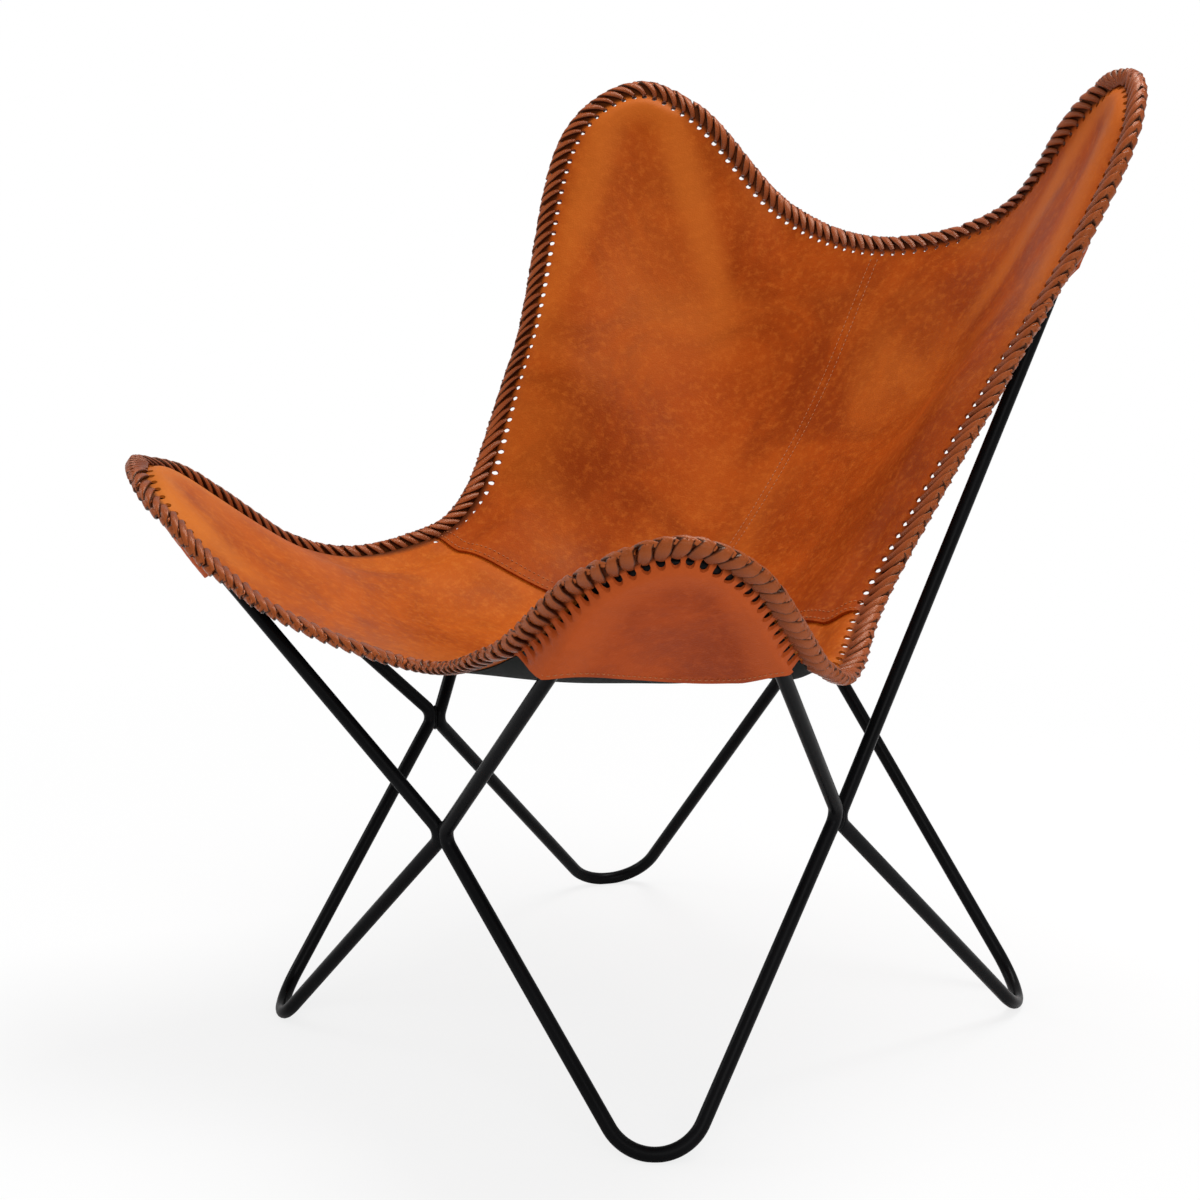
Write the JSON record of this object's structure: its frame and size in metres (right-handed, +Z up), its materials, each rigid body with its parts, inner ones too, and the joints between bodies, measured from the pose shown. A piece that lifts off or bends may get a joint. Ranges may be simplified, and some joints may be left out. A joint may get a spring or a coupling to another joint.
{
  "type": "butterfly sling chair",
  "caption": "Low lounge chair: a laced leather sling with peaked corners hangs by its pockets from bent steel rod rings that cross and are welded at mid height.",
  "frame": {"origin": "on the floor, under the middle of the chair's bounding box", "axes": "+Z up, the sitter faces -Y, +X is on the sitter's left as they sit"},
  "size_m": [0.7249, 0.7566, 0.8871],
  "materials": {
    "steel": "black powder coat, semi-gloss",
    "hide": "cognac pull-up leather, lightly mottled, satin",
    "pocket": "redder cognac leather, satin",
    "lace": "dark brown waxed leather lace, braided over the edge",
    "lining": "black canvas"
  },
  "bodies": {
    "root": {"ring_front_right": "steel", "ring_front_left": "steel", "ring_back_right": "steel", "ring_back_left": "steel", "weld_front": "steel", "weld_back": "steel", "weld_right": "steel", "weld_left": "steel", "seat_panel": "hide", "back_panel_right": "hide", "back_panel_left": "hide", "pocket_front_right": "pocket", "pocket_front_left": "pocket", "pocket_back_right": "pocket", "pocket_back_left": "pocket", "lacing_front": "lace", "lacing_right": "lace", "lacing_back": "lace", "lacing_left": "lace", "seat_lining": "lining"}
  },
  "joints": []
}
